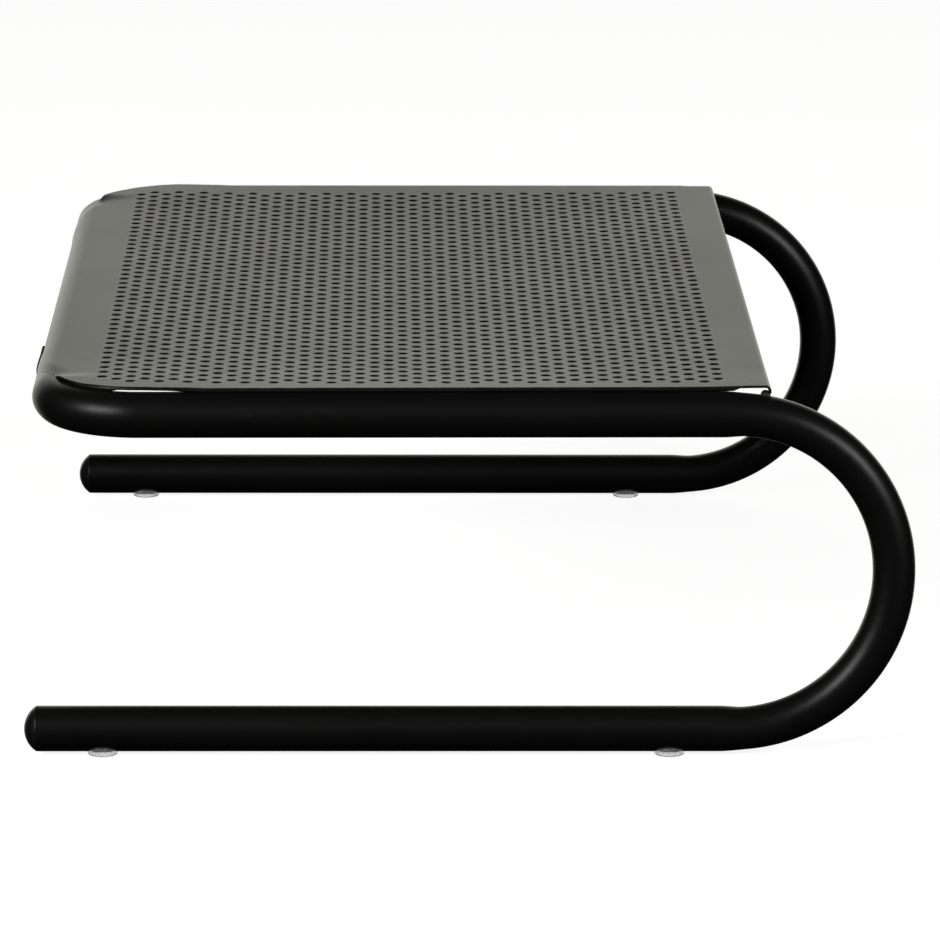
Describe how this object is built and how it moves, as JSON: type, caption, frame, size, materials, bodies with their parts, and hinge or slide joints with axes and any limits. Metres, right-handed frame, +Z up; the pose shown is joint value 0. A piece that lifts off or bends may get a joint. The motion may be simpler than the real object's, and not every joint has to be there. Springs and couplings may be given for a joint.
{
  "type": "monitor riser stand",
  "caption": "Low desk stand: a bent round tube with C-shaped sides carries a perforated sheet deck over an open keyboard bay.",
  "frame": {"origin": "middle of the footprint, on the desk surface the feet stand on", "axes": "+X to the right along the width seen from the front, +Y to the rear where the C-bends are, +Z up"},
  "size_m": [0.355, 0.2882, 0.1214],
  "materials": {
    "black_tube": "satin black powder coat on bent steel tube",
    "black_deck": "satin dark grey-black coat on perforated steel sheet",
    "weld": "weld metal coated over with the frame",
    "cap": "satin black moulded plastic",
    "badge": "plain matt black, no mark",
    "clear_foot": "clear, slightly milky soft plastic"
  },
  "bodies": {
    "root": {"frame_tube": "black_tube", "deck_panel": "black_deck", "badge_plate": "badge", "end_cap_right": "cap", "end_cap_left": "cap", "foot_front_right": "clear_foot", "foot_front_left": "clear_foot", "foot_rear_right": "clear_foot", "foot_rear_left": "clear_foot", "front_roll_welds": "weld", "rail_welds_right": "weld", "rail_welds_left": "weld", "flange_weld_right": "weld", "flange_weld_left": "weld"}
  },
  "joints": []
}
